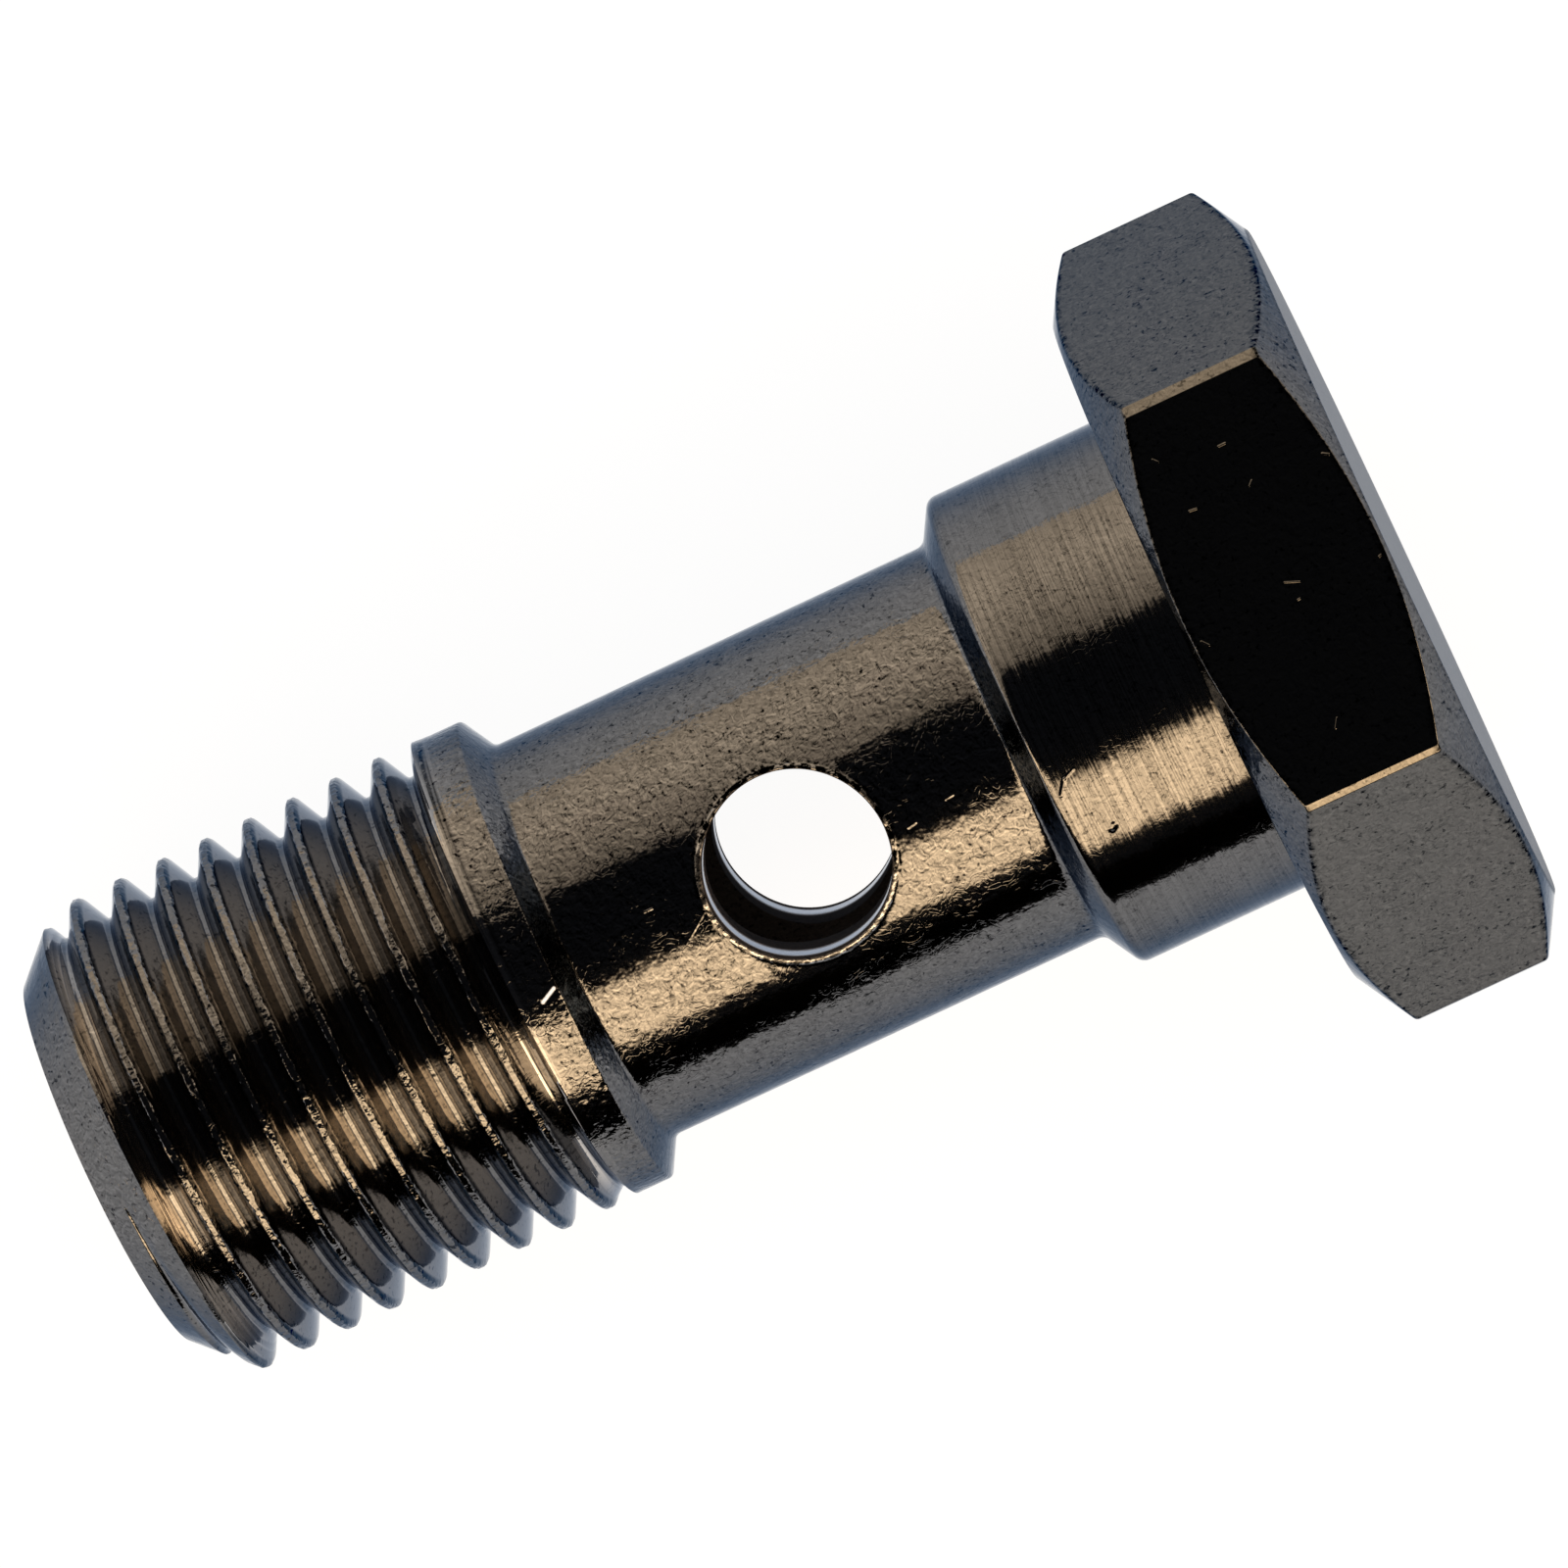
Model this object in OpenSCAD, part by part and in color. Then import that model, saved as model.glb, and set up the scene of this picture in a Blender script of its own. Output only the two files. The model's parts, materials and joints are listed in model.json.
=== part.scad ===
// Banjo bolt, turned from one piece of hexagon bar and plated.
// It clamps a ring-shaped (banjo) pipe fitting and carries the fluid itself: in at the
// threaded end, along the hollow shank and out through the cross hole.
// The bolt is drawn upright, threaded end down, and then laid on its side as it comes to
// rest on a table: on one flat of the head and on the crest of the thread.

/* [Head] */
// Width across the flats of the hexagon
head_across_flats = 14; // [12.5:0.1:19]
// Height of the head
head_height = 4.08; // [3:0.02:8]
// Diameter of the round bearing face under the head
seat_diameter = 13.62; // [12:0.02:14]
// Diameter of the round flat on top of the head
crown_diameter = 13.72; // [11:0.02:14]
// Angle that both chamfers of the head make with its end faces
head_chamfer_angle = 30; // [15:1:40]
// Width of the flat that takes the sharpness off the hexagon's six upright edges
head_edge_width = 0.24; // [0.1:0.02:0.6]

/* [Shank] */
// Length from the bearing face to the threaded end
under_head_length = 23; // [21:0.5:34]
// Diameter of the collar that centres the fitting
collar_diameter = 9.68; // [9:0.02:11.5]
// Length of the collar's cylindrical part
collar_length = 3.55; // [2:0.05:5]
// Radius of the collar's edge on the neck side
collar_edge_radius = 0.25; // [0.1:0.05:0.5]
// Diameter of the waisted neck that the fluid flows round
neck_diameter = 8.14; // [6.6:0.02:8.6]
// Length of the neck's cylindrical part
neck_length = 9; // [6:0.1:10]
// Angle that the shoulders at both ends of the neck make with its cross-section
shoulder_angle = 30; // [15:1:60]

/* [Thread] */
// Outside diameter of the thread
thread_diameter = 9.62; // [9.1:0.02:11]
// Threads in 25.4 mm of length
threads_per_inch = 28; // [19:1:32]
// Angle between the two flanks of the thread
thread_angle = 55; // [50:1:60]
// Diameter of the plain land between the thread and the neck
land_diameter = 9.54; // [9:0.02:11]
// Length of the plain land
land_length = 0.6; // [0.3:0.1:2]
// Length over which the last turn's groove runs out
runout_length = 1.15; // [0.6:0.05:2.5]
// Diameter of the flat end face of the thread
end_diameter = 7.54; // [6.4:0.02:8]
// Angle that the chamfer at the threaded end makes with the axis
end_chamfer_angle = 45; // [30:1:50]
// Turn of the thread about the bolt's axis
thread_phase = 214; // [0:1:360]

/* [Bores] */
// Diameter of the bore along the axis, open at the threaded end
bore_diameter = 4.2; // [3.7:0.1:5]
// Length of the bore beyond the middle of the cross hole, before its drill point
bore_past_cross = 2.1; // [1.9:0.1:3]
// Full angle of the drill point at the bottom of the bore
drill_point_angle = 118; // [90:1:140]
// Depth of the chamfer at the mouth of the bore
bore_mouth_chamfer = 0.25; // [0.1:0.05:0.6]
// Diameter of the hole across the neck, through both walls
cross_diameter = 3.56; // [2:0.02:4]
// Distance from the bearing face to the middle of the cross hole
cross_from_seat = 8.44; // [7.5:0.02:9.5]
// Turn of the cross hole about the bolt's axis, away from a flat's middle
cross_turn = 10.8; // [0:0.1:30]
// Width of the broken edge round each mouth of the cross hole
cross_edge_break = 0.07; // [0.02:0.01:0.2]

/* [Hidden] */
finish = "#3b3a3d";

round_facets = 96;
edge_steps = 4;
cut_margin = 0.5;

head_radius = head_across_flats / 2;
head_corner_radius = head_radius / cos(30);
overall_length = under_head_length + head_height;

// Levels along the axis, from the threaded end up
collar_end = under_head_length - collar_length;
neck_end = collar_end - (collar_diameter - neck_diameter) / 2 * tan(shoulder_angle);
neck_start = neck_end - neck_length;
land_end = neck_start - (land_diameter - neck_diameter) / 2 * tan(shoulder_angle);
thread_length = land_end - land_length;
cross_level = under_head_length - cross_from_seat;
bore_depth = cross_level + bore_past_cross;

// Whitworth form: rounded crests and roots, with two thirds of the sharp V left between
pitch = 25.4 / threads_per_inch;
sharp_height = pitch / 2 / tan(thread_angle / 2);
thread_depth = sharp_height * 2 / 3;
rounding_height = sharp_height / 6;
crest_sine = sin(thread_angle / 2);
crest_radius = rounding_height * crest_sine / (1 - crest_sine);
rounding_drop = crest_radius * (1 - crest_sine);
rounding_width = crest_radius * cos(thread_angle / 2);

// Depth below the crest, as [share of the pitch, share of the depth], through one pitch
crest_share = rounding_width / pitch;
crest_drop = rounding_drop / thread_depth;
PROFILE = [
    [0, 0],
    [crest_share, crest_drop],
    [0.5 - crest_share, 1 - crest_drop],
    [0.5, 1],
    [0.5 + crest_share, 1 - crest_drop],
    [1 - crest_share, crest_drop]
];
profile_rows = len(PROFILE);
thread_steps = 40;

// The thread's body ends inside the land, a little under its surface
land_overlap = 0.2;
land_step = 0.02;
thread_top = thread_length + land_overlap;
turns_before = 2;
thread_rows = (ceil(thread_top / pitch) + turns_before + 1) * profile_rows;

// Rest on a table: the edge of a flat nearest the bearing face, and the last full crest
flat_edge_level = under_head_length
    + (head_radius - seat_diameter / 2) * tan(head_chamfer_angle);
end_chamfer_length = (thread_diameter - end_diameter) / 2 / tan(end_chamfer_angle);
lowest_crest = pitch * (1 - thread_phase / 360);
rest_crest_level = lowest_crest
    + pitch * ceil((end_chamfer_length - lowest_crest) / pitch);
rest_tilt = atan((head_radius - thread_diameter / 2) / (flat_edge_level - rest_crest_level));
rest_height = head_radius * cos(rest_tilt) - flat_edge_level * sin(rest_tilt);
middle_x = (overall_length * cos(rest_tilt)
    + (crown_diameter - end_diameter) / 2 * sin(rest_tilt)) / 2;

// The two ends of the flat across one corner of the hexagon
function corner_points(corner) = [
    for (side = [-1, 1])
        let (
            at = 60 * corner + 30,
            out = head_corner_radius - head_edge_width / 2 * tan(30),
            across = side * head_edge_width / 2
        )
        [
            out * cos(at) - across * sin(at),
            out * sin(at) + across * cos(at)
        ]
];

// Hexagon bar with both ends chamfered on the lathe
module head() {
    outer = head_corner_radius + cut_margin;
    seat_rise = (outer - seat_diameter / 2) * tan(head_chamfer_angle);
    crown_fall = (outer - crown_diameter / 2) * tan(head_chamfer_angle);
    translate([0, 0, under_head_length])
    intersection() {
        linear_extrude(head_height)
            polygon([for (corner = [0:5]) each corner_points(corner)]);
        rotate_extrude($fn = round_facets)
            polygon([
                [0, 0],
                [seat_diameter / 2, 0],
                [outer, seat_rise],
                [outer, head_height - crown_fall],
                [crown_diameter / 2, head_height],
                [0, head_height]
            ]);
    }
}

// Land, waisted neck and collar, turned in one pass under the head
module shank() {
    edge = collar_edge_radius;
    // The rounded edge starts where it is tangent to the shoulder
    edge_centre = [
        collar_diameter / 2 - edge,
        collar_end + edge * tan((90 - shoulder_angle) / 2)
    ];
    rotate_extrude($fn = round_facets)
        polygon([
            [0, thread_length],
            [land_diameter / 2, thread_length],
            [land_diameter / 2, land_end],
            [neck_diameter / 2, neck_start],
            [neck_diameter / 2, neck_end],
            for (step = [0:edge_steps])
                let (turn = (shoulder_angle - 90) * (1 - step / edge_steps))
                edge_centre + edge * [cos(turn), sin(turn)],
            [collar_diameter / 2, under_head_length + cut_margin],
            [0, under_head_length + cut_margin]
        ]);
}

// Radius of the thread at a level, for a share of its full depth. The end is chamfered, and
// towards the land the cutter draws back, so the groove narrows as it gets shallower.
function thread_radius(level, depth_share) =
    let (
        left = min(1, max(0, (thread_length - level) / runout_length)),
        blank = land_diameter / 2 - land_step,
        outside = blank + (thread_diameter / 2 - blank) * left,
        groove = thread_diameter / 2 - thread_depth * (depth_share + left - 1),
        chamfer = end_diameter / 2 + level * tan(end_chamfer_angle)
    )
    min(outside, groove, chamfer);

// A point of the thread: rows follow the helix, and stop at both ends of the thread
function thread_point(step, row) =
    let (
        turn = 360 * step / thread_steps,
        at = PROFILE[row % profile_rows],
        whole = floor(row / profile_rows) - turns_before,
        free = pitch * (whole + at[0] + (turn - thread_phase) / 360),
        level = min(thread_top, max(0, free)),
        r = thread_radius(level, at[1])
    )
    [r * cos(turn), r * sin(turn), level];

// Index of a point, where the row after a full turn joins the next one of the first step
function thread_index(step, row) =
    step < thread_steps
        ? step * thread_rows + row
        : min(row + profile_rows, thread_rows - 1);

// Right-hand helical thread, solid to the axis
module thread() {
    polyhedron(
        points = [
            for (step = [0:thread_steps - 1])
                for (row = [0:thread_rows - 1])
                    thread_point(step, row)
        ],
        faces = [
            for (step = [0:thread_steps - 1])
                for (row = [0:thread_rows - 2])
                    each [
                        [
                            thread_index(step, row),
                            thread_index(step, row + 1),
                            thread_index(step + 1, row + 1)
                        ],
                        [
                            thread_index(step, row),
                            thread_index(step + 1, row + 1),
                            thread_index(step + 1, row)
                        ]
                    ],
            [for (step = [0:thread_steps - 1]) thread_index(step, 0)],
            [for (step = [thread_steps - 1:-1:0]) thread_index(step, thread_rows - 1)]
        ]
    );
}

// Blind bore with its mouth chamfer and drill point
module flow_bore() {
    radius = bore_diameter / 2;
    mouth = radius + bore_mouth_chamfer + cut_margin;
    rotate_extrude($fn = round_facets)
        polygon([
            [0, -cut_margin],
            [mouth, -cut_margin],
            [radius, bore_mouth_chamfer],
            [radius, bore_depth],
            [0, bore_depth + radius / tan(drill_point_angle / 2)]
        ]);
}

// Hole across the neck, with the sharp edge taken off both mouths
module cross_hole() {
    reach = neck_diameter / 2 + cut_margin;
    translate([0, 0, cross_level])
    rotate([0, 0, cross_turn])
    rotate([0, 90, 0]) {
        cylinder(h = 2 * reach, d = cross_diameter, center = true, $fn = round_facets);
        for (side = [0, 180])
            rotate([side, 0, 0])
            translate([0, 0, neck_diameter / 2 - cross_edge_break])
                cylinder(
                    h = cut_margin,
                    d1 = cross_diameter,
                    d2 = cross_diameter + 2 * cut_margin,
                    $fn = round_facets
                );
    }
}

// The whole bolt, upright on its axis
module upright_bolt() {
    difference() {
        union() {
            head();
            shank();
            thread();
        }
        flow_bore();
        cross_hole();
    }
}

module banjo_bolt() {
    color(finish)
    translate([-middle_x, 0, rest_height])
    rotate([0, 90 - rest_tilt, 0])
        upright_bolt();
}

banjo_bolt();
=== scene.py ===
"""Banjo bolt lying on a pale table, seen from above."""

import json
import math

import bmesh
import bpy
from mathutils import Euler, Matrix, Vector, noise


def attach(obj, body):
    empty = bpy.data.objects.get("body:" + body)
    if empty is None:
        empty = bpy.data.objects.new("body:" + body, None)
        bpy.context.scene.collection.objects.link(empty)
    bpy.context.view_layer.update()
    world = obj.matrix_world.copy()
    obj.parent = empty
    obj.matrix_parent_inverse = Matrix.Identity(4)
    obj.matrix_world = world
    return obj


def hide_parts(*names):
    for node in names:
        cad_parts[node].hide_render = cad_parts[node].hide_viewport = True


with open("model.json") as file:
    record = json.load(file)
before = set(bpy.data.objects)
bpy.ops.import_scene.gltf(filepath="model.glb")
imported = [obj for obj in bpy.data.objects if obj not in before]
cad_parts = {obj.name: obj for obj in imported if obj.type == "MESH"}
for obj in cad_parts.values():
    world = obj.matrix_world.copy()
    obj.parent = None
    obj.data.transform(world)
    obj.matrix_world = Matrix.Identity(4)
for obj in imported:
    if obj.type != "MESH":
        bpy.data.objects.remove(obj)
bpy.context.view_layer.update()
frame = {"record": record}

# Bolt
# One piece of free-cutting steel, turned from hexagon bar, drilled along its axis and
# across its neck, threaded, and plated with dark bright nickel.
# It is made upright, threaded end down, in millimetres, and then laid as the frame says.
MM = 0.001

ACROSS_FLATS = 14.0
HEAD_HEIGHT = 4.08
SEAT_RADIUS = 13.62 / 2
CROWN_RADIUS = 13.72 / 2
HEAD_CHAMFER = math.tan(math.radians(30))
# Each corner of the bar has kept a flat of its own width
CORNER_FLATS = (0.2, 0.26, 0.24, 0.14, 0.26, 0.2)

UNDER_HEAD = 23.0
COLLAR_RADIUS = 9.68 / 2
COLLAR_LENGTH = 3.55
NECK_RADIUS = 8.14 / 2
NECK_LENGTH = 9.0
SHOULDER = math.tan(math.radians(30))

THREAD_RADIUS = 9.62 / 2
PITCH = 25.4 / 28
LAND_RADIUS = 9.54 / 2
LAND_LENGTH = 0.6
RUNOUT_LENGTH = 0.55
END_RADIUS = 7.54 / 2
THREAD_PHASE = math.radians(214)

BORE_RADIUS = 4.2 / 2
BORE_PAST_CROSS = 2.1
DRILL_POINT = math.tan(math.radians(118 / 2))
MOUTH_CHAMFER = 0.25
CROSS_RADIUS = 3.56 / 2
CROSS_FROM_SEAT = 8.44
CROSS_TURN = math.radians(10.8)

# Levels along the axis, from the threaded end up
CROWN_LEVEL = UNDER_HEAD + HEAD_HEIGHT
COLLAR_LEVEL = UNDER_HEAD - COLLAR_LENGTH
NECK_TOP = COLLAR_LEVEL - (COLLAR_RADIUS - NECK_RADIUS) * SHOULDER
NECK_BOTTOM = NECK_TOP - NECK_LENGTH
LAND_TOP = NECK_BOTTOM - (LAND_RADIUS - NECK_RADIUS) * SHOULDER
THREAD_LENGTH = LAND_TOP - LAND_LENGTH
CROSS_LEVEL = UNDER_HEAD - CROSS_FROM_SEAT
BORE_DEPTH = CROSS_LEVEL + BORE_PAST_CROSS

# Radii that its edges are rounded with
LAND_EDGE = 0.08
NECK_FOOT = 0.2
NECK_HEAD = 0.25
COLLAR_EDGE = 0.25
SEAT_FILLET = 0.06
SEAT_EDGE = 0.1
FLAT_EDGE = 0.12
CROWN_EDGE = 0.1
CORNER_EDGE = 0.04
MOUTH_EDGE = 0.05
BORE_HOLE_EDGE = 0.03
EDGE_STEPS = 4
CORNER_STEPS = 3

# Rings round the shank have one point for each column. A drilled wall is a grid with a
# square window round each hole, which rings then close in to the hole's edge.
SHANK_COLUMNS = 240
BORE_COLUMNS = 120
WINDOW_STEPS = 48
WINDOW_HALF_HEIGHT = 2.6
WINDOW_RINGS = 7
RING_CROWDING = 1.6

# Columns of the head: shares of the width of a flat and of a corner where they stand
FLAT_SHARES = (0.008, 0.03, *(step / 24 for step in range(2, 23)), 0.97, 0.992)
CORNER_SHARES = (0.12, 0.3, 0.5, 0.7, 0.88)
# The head's end faces start this far inside their edges
FACE_MARGIN = 0.5

# The drill has raised a ragged lip round each mouth: (distance from the hole, height)
LIP = ((0.17, 0.0), (0.14, 0.004), (0.12, 0.012), (0.1, 0.024), (0.08, 0.032), (0.05, 0.034))
# The share of that height follows a noise, round each mouth and from one mouth to the other
LIP_NOISE_RADIUS = 9
LIP_NOISE_STEP = 5
LIP_MEAN = 0.8
LIP_SWING = 0.7
LIP_LEAST = 0.5


class Shell:
    """Points and faces of the bolt's surface."""

    def __init__(self):
        self.points = []
        self.faces = []

    def add(self, points):
        start = len(self.points)
        self.points.extend(points)
        return list(range(start, len(self.points)))

    def ring(self, radius, level, turns):
        return self.add([(radius * math.cos(t), radius * math.sin(t), level) for t in turns])

    def join(self, ring, other):
        """Quads between two closed rings with as many points."""
        for here in range(len(ring)):
            there = (here + 1) % len(ring)
            self.faces.append((ring[here], ring[there], other[there], other[here]))

    def turned(self, profile, turns, first=None):
        """Rings for a turned profile of (radius, level) points. Returns the last ring."""
        last = first
        for radius, level in profile:
            ring = self.ring(radius, level, turns)
            if last:
                self.join(last, ring)
            last = ring
        return last

    def close(self, ring, point):
        """Fan from a ring to one point."""
        tip, = self.add([point])
        for here in range(len(ring)):
            self.faces.append((ring[here], ring[(here + 1) % len(ring)], tip))

    def bridge(self, ring, turns, other, other_turns):
        """Triangles between two rings with different columns, both sorted by their turn."""
        one = two = 0
        while one < len(ring) or two < len(other):
            here, there = ring[one % len(ring)], other[two % len(other)]
            one_next = turns[one + 1] if one + 1 < len(ring) else turns[0] + math.tau
            two_next = other_turns[two + 1] if two + 1 < len(other) else other_turns[0] + math.tau
            if two == len(other) or (one < len(ring) and one_next <= two_next):
                one += 1
                self.faces.append((here, ring[one % len(ring)], there))
            else:
                two += 1
                self.faces.append((here, other[two % len(other)], there))


def rounded(corners, steps=EDGE_STEPS):
    """Points along a profile of (radius, level, rounding) corners, rounded as arcs."""
    points = []
    for index, (radius, level, rounding) in enumerate(corners):
        corner = Vector((radius, level))
        if not rounding:
            points.append(tuple(corner))
            continue
        before = (Vector(corners[index - 1][:2]) - corner).normalized()
        after = (Vector(corners[index + 1][:2]) - corner).normalized()
        half = before.angle(after) / 2
        centre = corner + (before + after).normalized() * (rounding / math.sin(half))
        start = (corner + before * (rounding / math.tan(half)) - centre).normalized()
        end = (corner + after * (rounding / math.tan(half)) - centre).normalized()
        for step in range(steps + 1):
            points.append(tuple(centre + start.slerp(end, step / steps) * rounding))
    return points


def columns(count):
    return [CROSS_TURN + math.tau * column / count for column in range(count)]


def window_turn(index):
    """Turn round the hole's axis of a window's point. The first is the window's corner."""
    return math.tau * (index / (4 * WINDOW_STEPS) - 1 / 8)


def hole_point(radius, hole_radius, turn, side, depth=0.0):
    """Point of the edge that a hole round the cross axis cuts into a wall of that radius."""
    across = hole_radius * math.sin(turn)
    out = math.sqrt(radius**2 - across**2) - depth
    facing = CROSS_TURN + side * math.pi
    return Vector((
        out * math.cos(facing) - across * math.sin(facing),
        out * math.sin(facing) + across * math.cos(facing),
        CROSS_LEVEL + hole_radius * math.cos(turn),
    ))


def lip_share(turn, side):
    """How much of the lip's height is there."""
    spot = Vector((
        math.cos(turn) * LIP_NOISE_RADIUS,
        math.sin(turn) * LIP_NOISE_RADIUS,
        side * LIP_NOISE_STEP,
    ))
    return min(1, max(LIP_LEAST, LIP_MEAN + noise.noise(spot) * LIP_SWING))


def drilled_wall(shell, radius, count, lip):
    """Round wall that the cross hole goes through. Returns its lowest and highest ring, and
    for each side the last ring of the lip round the hole."""
    half = WINDOW_STEPS // 2
    grid = {}
    for row in range(WINDOW_STEPS + 1):
        level = CROSS_LEVEL + WINDOW_HALF_HEIGHT * (row / half - 1)
        for column in range(count):
            offset = (column + half) % (count // 2)
            if 0 < row < WINDOW_STEPS and 0 < offset < WINDOW_STEPS:
                continue
            turn = CROSS_TURN + math.tau * column / count
            grid[row, column], = shell.add(
                [(radius * math.cos(turn), radius * math.sin(turn), level)])
    for row in range(WINDOW_STEPS):
        for column in range(count):
            if (column + half) % (count // 2) < WINDOW_STEPS:
                continue
            after = (column + 1) % count
            shell.faces.append((
                grid[row, column], grid[row, after],
                grid[row + 1, after], grid[row + 1, column],
            ))
    # The window's points, along its top, down, along its foot and up again
    window = (
        [(WINDOW_STEPS, step - half) for step in range(WINDOW_STEPS)]
        + [(WINDOW_STEPS - step, half) for step in range(WINDOW_STEPS)]
        + [(0, half - step) for step in range(WINDOW_STEPS)]
        + [(step, -half) for step in range(WINDOW_STEPS)]
    )
    # Rings from the window to the lip, as (share of the way, distance, height)
    rings = [(1 - (1 - ring / WINDOW_RINGS) ** RING_CROWDING, *lip[0])
             for ring in range(1, WINDOW_RINGS + 1)]
    rings += [(1, *step) for step in lip[1:]]
    mouths = []
    for side in range(2):
        last = [grid[row, (column + side * count // 2) % count] for row, column in window]
        for share, distance, height in rings:
            reach = CROSS_RADIUS + distance
            points = []
            for index, (row, column) in enumerate(window):
                turn = window_turn(index)
                rim_turn = math.asin(reach * math.sin(turn) / radius)
                at = (1 - share) * math.tau * column / count + share * rim_turn
                at += CROSS_TURN + side * math.pi
                rise = (1 - share) * WINDOW_HALF_HEIGHT * (row / half - 1)
                rise += share * reach * math.cos(turn)
                out = radius + height * lip_share(turn, side)
                points.append((out * math.cos(at), out * math.sin(at), CROSS_LEVEL + rise))
            new = shell.add(points)
            shell.join(last, new)
            last = new
        mouths.append(last)
    lowest = [grid[0, column] for column in range(count)]
    highest = [grid[WINDOW_STEPS, column] for column in range(count)]
    return lowest, highest, mouths


def broken_edge(shell, ring, radius, side, edge, height, inwards):
    """Rounds the hole's edge, from a lip's ring into the hole. Returns the hole's first ring."""
    last = ring
    for step in range(1, EDGE_STEPS + 1):
        t = step / EDGE_STEPS
        points = []
        for index in range(len(ring)):
            turn = window_turn(index)
            rise = height * lip_share(turn, side)
            on_wall = hole_point(radius, CROSS_RADIUS + edge, turn, side, -rise)
            corner = hole_point(radius, CROSS_RADIUS, turn, side, -rise)
            in_hole = hole_point(radius, CROSS_RADIUS, turn, side, edge * inwards)
            points.append(tuple(
                on_wall * (1 - t) ** 2 + corner * 2 * t * (1 - t) + in_hole * t**2))
        new = shell.add(points)
        shell.join(last, new)
        last = new
    return last


def head_outline():
    """Hexagon with a narrow flat on each corner as (turn, radius), from the cross hole on."""
    corner_radius = ACROSS_FLATS / 2 / math.cos(math.radians(30))
    ends = []
    for corner, width in enumerate(CORNER_FLATS):
        at = Matrix.Rotation(math.radians(60 * corner + 30), 2)
        out = corner_radius - width / 2 * math.tan(math.radians(30))
        ends.extend(at @ Vector((out, side * width / 2)) for side in (-1, 1))
    outline = []
    for index, point in enumerate(ends):
        following = ends[(index + 1) % len(ends)]
        corners = [(*ends[index - 1], 0), (*point, CORNER_EDGE), (*following, 0)]
        outline.extend(Vector(corner) for corner in rounded(corners, CORNER_STEPS)[1:-1])
        shares = CORNER_SHARES if index % 2 == 0 else FLAT_SHARES
        outline.extend(point.lerp(following, share) for share in shares)
    polar = [(math.atan2(p.y, p.x), p.length) for p in outline]
    return sorted(((turn - CROSS_TURN) % math.tau + CROSS_TURN, r) for turn, r in polar)


def bolt_shell():
    shell = Shell()
    shank = columns(SHANK_COLUMNS)
    bore = columns(BORE_COLUMNS)

    # Land, shoulder and the neck up to the drilled stretch
    neck_low, neck_high, mouths = drilled_wall(shell, NECK_RADIUS, SHANK_COLUMNS, LIP)
    below = rounded([
        (LAND_RADIUS, THREAD_LENGTH, 0),
        (LAND_RADIUS, LAND_TOP, LAND_EDGE),
        (NECK_RADIUS, NECK_BOTTOM, NECK_FOOT),
        (NECK_RADIUS, CROSS_LEVEL - WINDOW_HALF_HEIGHT, 0),
    ])
    shell.join(shell.turned(below[:-1], shank), neck_low)

    # Neck, shoulder and collar up to the bearing face
    above = rounded([
        (NECK_RADIUS, CROSS_LEVEL + WINDOW_HALF_HEIGHT, 0),
        (NECK_RADIUS, NECK_TOP, NECK_HEAD),
        (COLLAR_RADIUS, COLLAR_LEVEL, COLLAR_EDGE),
        (COLLAR_RADIUS, UNDER_HEAD, SEAT_FILLET),
        (SEAT_RADIUS, UNDER_HEAD, 0),
    ])
    collar_head = shell.turned(above[1:-1], shank, neck_high)

    # Head: each column has its own profile, because the chamfers cut the flats in curves
    outline = head_outline()
    profiles = []
    for turn, radius in outline:
        seat_rise = (radius - SEAT_RADIUS) * HEAD_CHAMFER
        crown_fall = (radius - CROWN_RADIUS) * HEAD_CHAMFER
        profiles.append(rounded([
            (SEAT_RADIUS - FACE_MARGIN, UNDER_HEAD, 0),
            (SEAT_RADIUS, UNDER_HEAD, SEAT_EDGE),
            (radius, UNDER_HEAD + seat_rise, FLAT_EDGE),
            (radius, CROWN_LEVEL - crown_fall, FLAT_EDGE),
            (CROWN_RADIUS, CROWN_LEVEL, CROWN_EDGE),
            (CROWN_RADIUS - FACE_MARGIN, CROWN_LEVEL, 0),
        ]))
    last = None
    for row in range(len(profiles[0])):
        ring = shell.add([
            (profile[row][0] * math.cos(turn), profile[row][0] * math.sin(turn), profile[row][1])
            for (turn, radius), profile in zip(outline, profiles)
        ])
        if last:
            shell.join(last, ring)
        else:
            shell.bridge(collar_head, shank, ring, [turn for turn, radius in outline])
        last = ring
    shell.close(last, (0, 0, CROWN_LEVEL))

    # Bore, its mouth and its drill point, and the end face round the mouth
    bore_low, bore_high, bore_mouths = drilled_wall(
        shell, BORE_RADIUS, BORE_COLUMNS, ((BORE_HOLE_EDGE, 0.0),))
    mouth = rounded([
        (END_RADIUS, 0, 0),
        (BORE_RADIUS + MOUTH_CHAMFER, 0, MOUTH_EDGE),
        (BORE_RADIUS, MOUTH_CHAMFER, MOUTH_EDGE),
        (BORE_RADIUS, CROSS_LEVEL - WINDOW_HALF_HEIGHT, 0),
    ])
    end_face = shell.ring(END_RADIUS, 0, shank)
    mouth_edge = shell.ring(*mouth[1], bore)
    shell.bridge(end_face, shank, mouth_edge, bore)
    shell.join(shell.turned(mouth[2:-1], bore, mouth_edge), bore_low)
    shell.close(bore_high, (0, 0, BORE_DEPTH + BORE_RADIUS / DRILL_POINT))

    # Cross hole through both walls
    for side in range(2):
        outer = broken_edge(shell, mouths[side], NECK_RADIUS, side, *LIP[-1], 1)
        inner = broken_edge(
            shell, bore_mouths[side], BORE_RADIUS, side, BORE_HOLE_EDGE, 0.0, -1)
        shell.join(outer, inner)
    return shell


def add_object(name, data):
    made = bpy.data.objects.new(name, data)
    bpy.context.scene.collection.objects.link(made)
    return made


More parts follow.
